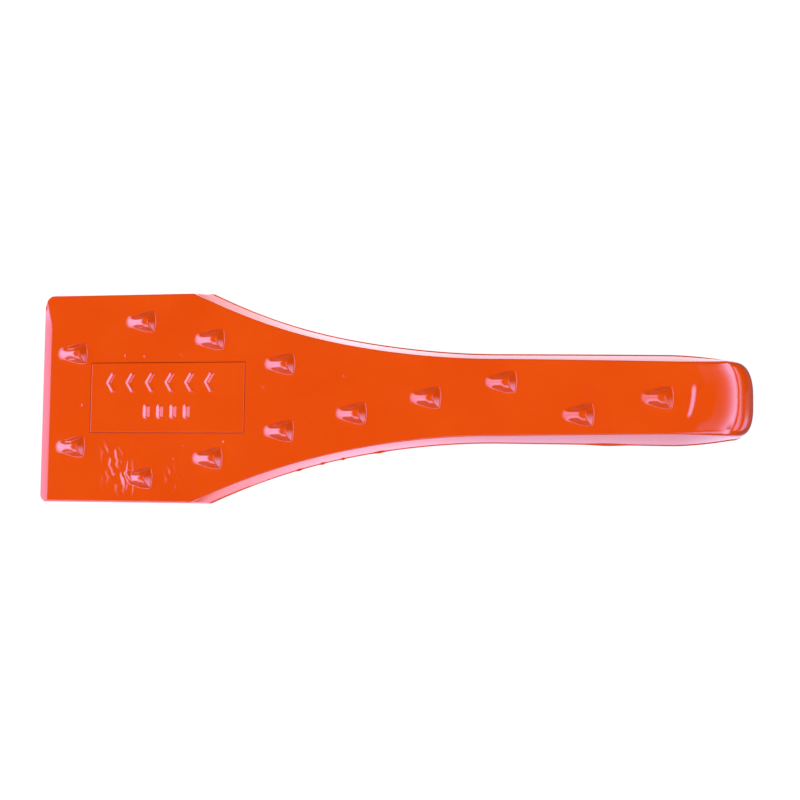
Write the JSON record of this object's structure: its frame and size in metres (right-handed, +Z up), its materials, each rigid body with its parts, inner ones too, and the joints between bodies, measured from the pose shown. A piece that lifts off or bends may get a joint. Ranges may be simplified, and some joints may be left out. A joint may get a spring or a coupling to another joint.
{
  "type": "felling wedge",
  "caption": "Barbed plastic felling wedge: wide thin blade flaring into a narrow thick handle with a raised heel lip, modelled as an upper and a lower moulding and a badge.",
  "frame": {"origin": "middle of the flat underside, half way between the thin tip and the heel", "axes": "+X runs along the wedge from the thin tip to the thick heel, +Y runs across the blade, +Z points up out of the barbed top face"},
  "size_m": [0.24, 0.072, 0.0336],
  "materials": {
    "orange_plastic": "glossy moulded"
  },
  "bodies": {
    "root": {"upper_shell": "orange_plastic", "lower_shell": "orange_plastic", "badge_plate": "orange_plastic"}
  },
  "joints": []
}
